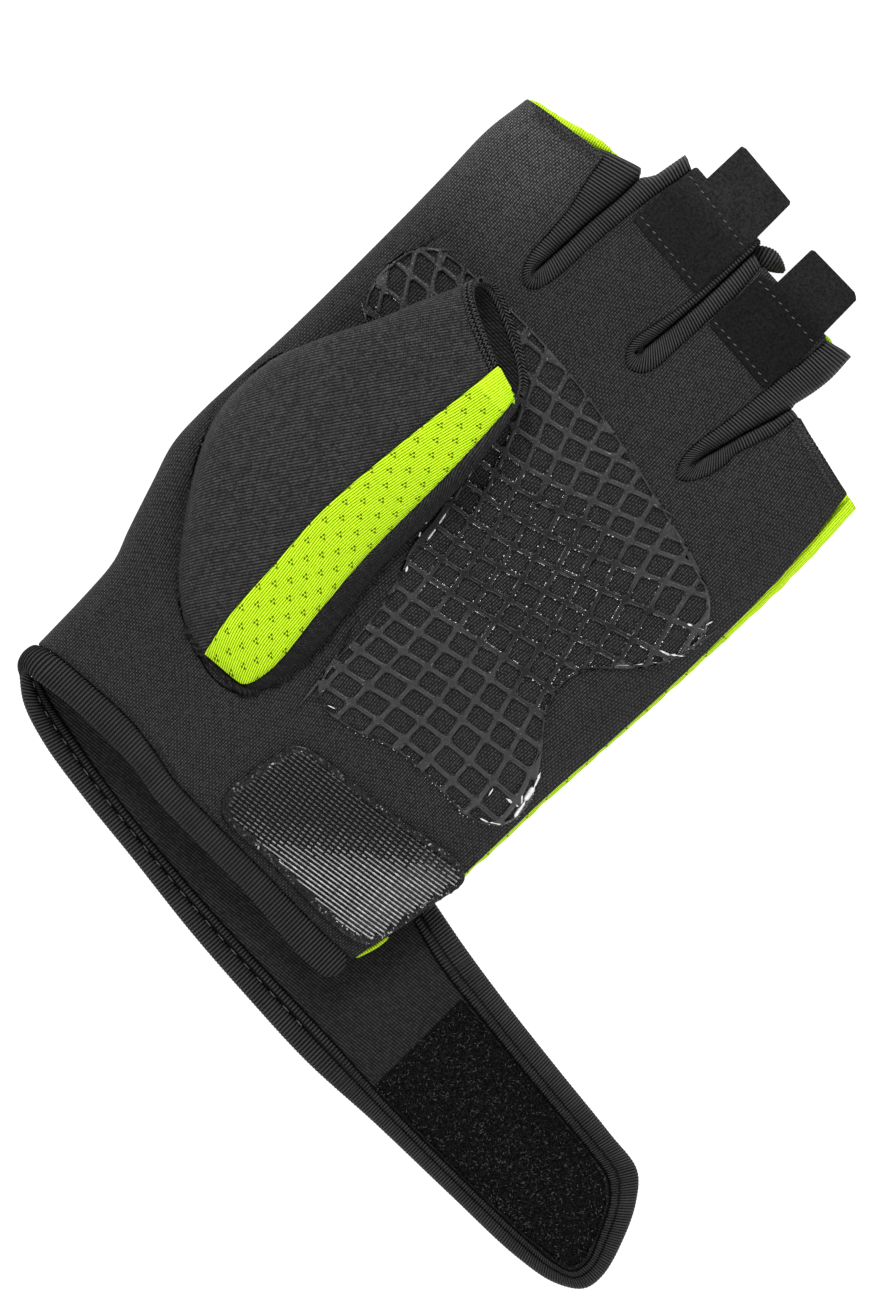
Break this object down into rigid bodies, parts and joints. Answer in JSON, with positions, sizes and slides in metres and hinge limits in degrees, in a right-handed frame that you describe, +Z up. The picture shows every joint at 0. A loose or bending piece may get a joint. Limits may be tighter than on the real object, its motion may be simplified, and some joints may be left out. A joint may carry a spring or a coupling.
{
  "type": "fitness glove",
  "caption": "Half-finger sport glove with ribbed finger gaps, raised palm grip, mesh back, open thumb sleeve and a hook-and-loop wrist strap laid open.",
  "frame": {"origin": "on the flat resting face under the middle of the palm, the glove lying on its back", "axes": "+X from the index finger to the little finger, +Y along the fingers to the tips, +Z up out of the palm"},
  "size_m": [0.175, 0.1872, 0.0258],
  "materials": {
    "charcoal_knit": "fine charcoal knit, matt",
    "charcoal_twill": "charcoal twill, matt",
    "ribbed_binding": "ribbed dark grey binding tape",
    "neon_mesh": "neon yellow-green air mesh with small eyelets",
    "black_suede": "dark synthetic suede, matt",
    "grip_silicone": "raised dark grey silicone print, slightly glossy",
    "hook_tape": "black hook tape with fine rows of hooks",
    "loop_pile": "black brushed loop pile"
  },
  "bodies": {
    "root": {"palm_panel": "charcoal_knit", "back_panel": "neon_mesh", "index_middle_band": "ribbed_binding", "middle_ring_band": "ribbed_binding", "ring_pinky_band": "ribbed_binding", "middle_tab": "black_suede", "ring_tab": "black_suede", "grip_print": "grip_silicone", "hook_patch": "hook_tape", "thumb_sleeve": "charcoal_twill", "thumb_stripe": "neon_mesh", "thumb_hem": "ribbed_binding", "wrist_strap": "charcoal_twill", "strap_binding": "ribbed_binding", "palm_binding": "ribbed_binding", "loop_patch": "loop_pile"}
  },
  "joints": []
}
